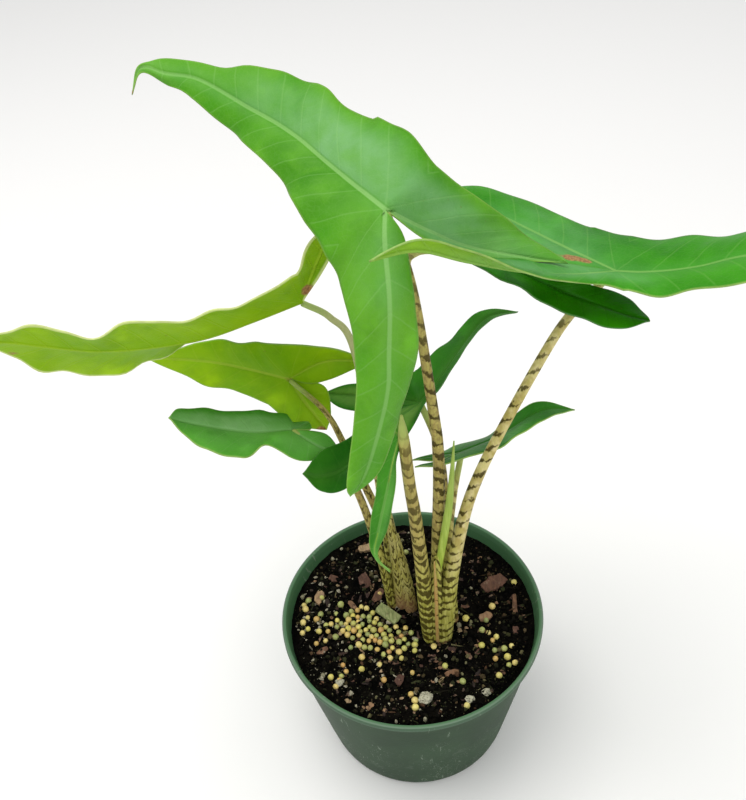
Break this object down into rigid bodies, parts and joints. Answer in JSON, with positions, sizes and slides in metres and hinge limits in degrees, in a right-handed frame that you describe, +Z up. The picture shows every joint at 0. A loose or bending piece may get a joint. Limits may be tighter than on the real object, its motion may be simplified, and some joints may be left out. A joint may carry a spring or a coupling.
{
  "type": "potted alocasia",
  "caption": "Young zebra-stalked alocasia with arrow-shaped green leaves on banded stalks, growing in dark potting mix in a round tapered nursery pot.",
  "frame": {"origin": "middle of the flat underside of the pot, where it stands", "axes": "+Z up; +X to the right across the plant, along its widest spread; +Y away from the side that is seen first"},
  "size_m": [0.2781, 0.125, 0.2986],
  "materials": {
    "pot_plastic": "dark green thin moulded plastic, scuffed",
    "potting_mix": "near-black crumbly bark and peat mix",
    "corm_skin": "brown fibrous skin, buried",
    "striped_stalk": "tan stalk with dark brown cross bands, satin",
    "leaf_mid_green": "bright mid green blade, satin, pale veins",
    "leaf_dark_green": "dark green blade, satin, fine pale midrib",
    "leaf_yellow_green": "yellow-green underside of a blade, matte",
    "spear_green": "rolled new leaf, bright yellow-green",
    "bark": "reddish brown bark chips, dry",
    "leaf_scrap": "dry grey-green scrap of leaf",
    "perlite": "white porous perlite grains",
    "prill_coat": "yellow resin-coated fertiliser beads, slight gloss"
  },
  "bodies": {
    "root": {"pot": "pot_plastic", "potting_soil": "potting_mix", "corm_front": "corm_skin", "corm_left": "corm_skin", "petiole_front": "striped_stalk", "petiole_right": "striped_stalk", "petiole_under_right": "striped_stalk", "petiole_left": "striped_stalk", "petiole_low_left": "striped_stalk", "petiole_back": "striped_stalk", "petiole_narrow": "striped_stalk", "petiole_hanging": "striped_stalk", "petiole_dark_left": "striped_stalk", "leaf_front": "leaf_mid_green", "leaf_right": "leaf_mid_green", "leaf_under_right": "leaf_dark_green", "leaf_left": "leaf_yellow_green", "leaf_low_left": "leaf_yellow_green", "leaf_back": "leaf_dark_green", "leaf_narrow": "leaf_dark_green", "leaf_hanging": "leaf_mid_green", "leaf_dark_left": "leaf_dark_green", "new_leaf_spear": "spear_green", "bark_chip_red": "bark", "bark_sliver": "bark", "bark_chip_orange": "bark", "bark_chip_rust": "bark", "bark_chip_tan": "bark", "bark_block": "bark", "leaf_scrap": "leaf_scrap", "perlite_left": "perlite", "perlite_front": "perlite", "perlite_right": "perlite", "perlite_far_right": "perlite", "fertiliser_prill_1": "prill_coat", "fertiliser_prill_2": "prill_coat", "fertiliser_prill_3": "prill_coat", "fertiliser_prill_4": "prill_coat", "fertiliser_prill_5": "prill_coat", "fertiliser_prill_6": "prill_coat", "fertiliser_prill_7": "prill_coat", "fertiliser_prill_8": "prill_coat"}
  },
  "joints": []
}
